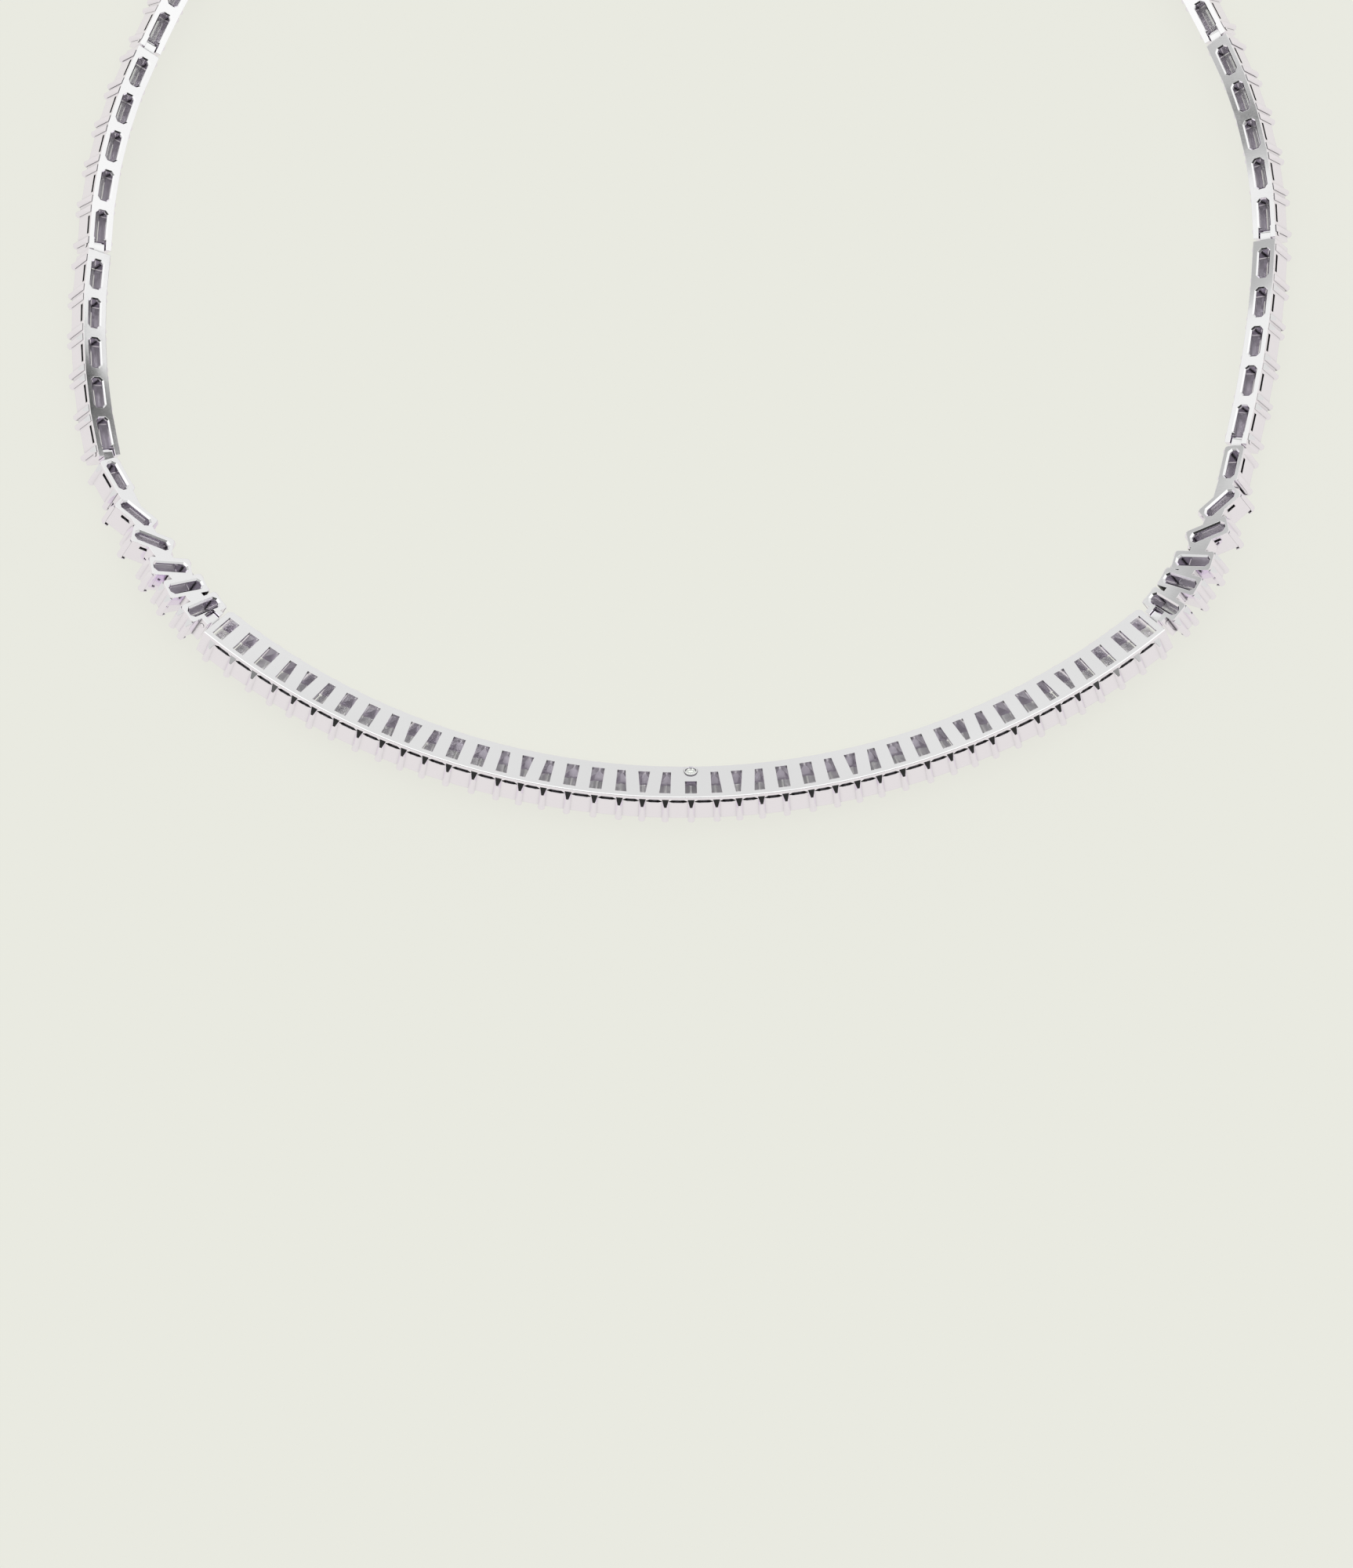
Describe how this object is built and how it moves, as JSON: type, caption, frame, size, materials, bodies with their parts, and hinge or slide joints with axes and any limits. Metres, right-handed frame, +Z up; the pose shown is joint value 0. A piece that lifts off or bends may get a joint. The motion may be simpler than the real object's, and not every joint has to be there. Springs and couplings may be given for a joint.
{
  "type": "riviere necklace",
  "caption": "Riviere necklace of baguette diamonds in polished white gold, with a rigid curved front, zigzag shoulders and hinged links",
  "frame": {"origin": "Middle of the closed loop on the surface that it lies on", "axes": "+Z up from the surface, stones facing down; +Y from the middle of the rigid front to the clasp; +X to the right of the viewer"},
  "size_m": [0.1321, 0.1384, 0.006],
  "materials": {
    "white_gold": "polished",
    "diamond": "polished"
  },
  "bodies": {
    "root": {"centre_bar": "white_gold", "centre_stones": "diamond", "round_stone": "diamond", "fan_left": "white_gold", "fan_left_stones": "diamond", "fan_right": "white_gold", "fan_right_stones": "diamond", "link_left_1": "white_gold", "link_left_1_stones": "diamond", "link_right_1": "white_gold", "link_right_1_stones": "diamond", "link_left_2": "white_gold", "link_left_2_stones": "diamond", "link_right_2": "white_gold", "link_right_2_stones": "diamond", "link_left_3": "white_gold", "link_left_3_stones": "diamond", "link_right_3": "white_gold", "link_right_3_stones": "diamond", "link_left_4": "white_gold", "link_left_4_stones": "diamond", "link_right_4": "white_gold", "link_right_4_stones": "diamond", "link_left_5": "white_gold", "link_left_5_stones": "diamond", "link_right_5": "white_gold", "link_right_5_stones": "diamond", "box_clasp": "white_gold"}
  },
  "joints": []
}
